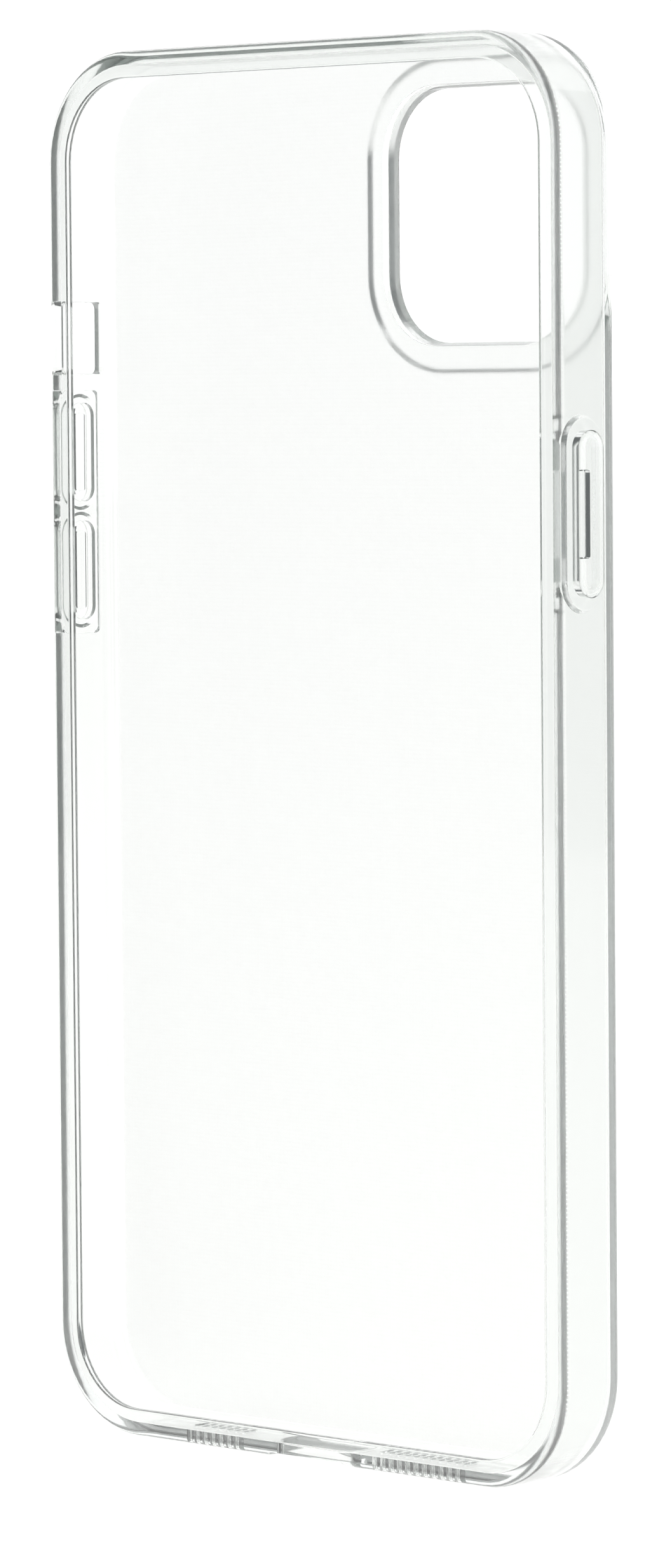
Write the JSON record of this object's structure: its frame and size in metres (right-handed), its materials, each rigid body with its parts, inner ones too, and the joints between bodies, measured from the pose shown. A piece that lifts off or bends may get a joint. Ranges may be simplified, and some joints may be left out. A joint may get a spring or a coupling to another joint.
{
  "type": "phone case",
  "caption": "Clear soft phone case with an open front, a rolled front lip, a square camera opening in a raised ring, and flexing side keys",
  "frame": {"origin": "middle of the pocket floor, where the back of the phone rests", "axes": "+X to the right across the width seen from the open front, +Y from the open front to the back panel, +Z along the length to the camera end"},
  "size_m": [0.083, 0.0115, 0.1642],
  "materials": {
    "clear_tpu": "gloss",
    "clear_tpu_key": "gloss"
  },
  "bodies": {
    "case": {"back_panel": "clear_tpu", "bumper_frame": "clear_tpu", "front_lip": "clear_tpu", "camera_ring": "clear_tpu", "power_web": "clear_tpu_key", "volume_up_web": "clear_tpu_key", "volume_down_web": "clear_tpu_key"},
    "power": {"power_key": "clear_tpu_key"},
    "volume_up": {"volume_up_key": "clear_tpu_key"},
    "volume_down": {"volume_down_key": "clear_tpu_key"}
  },
  "joints": [
    {"name": "power_press", "type": "slide", "parent": "case", "child": "power", "axis": [-1, 0, 0], "range_m": [0, 0.0004], "stiffness_N_per_m": 4000},
    {"name": "volume_up_press", "type": "slide", "parent": "case", "child": "volume_up", "axis": [1, 0, 0], "range_m": [0, 0.0004], "stiffness_N_per_m": 4000},
    {"name": "volume_down_press", "type": "slide", "parent": "case", "child": "volume_down", "axis": [1, 0, 0], "range_m": [0, 0.0004], "stiffness_N_per_m": 4000}
  ]
}
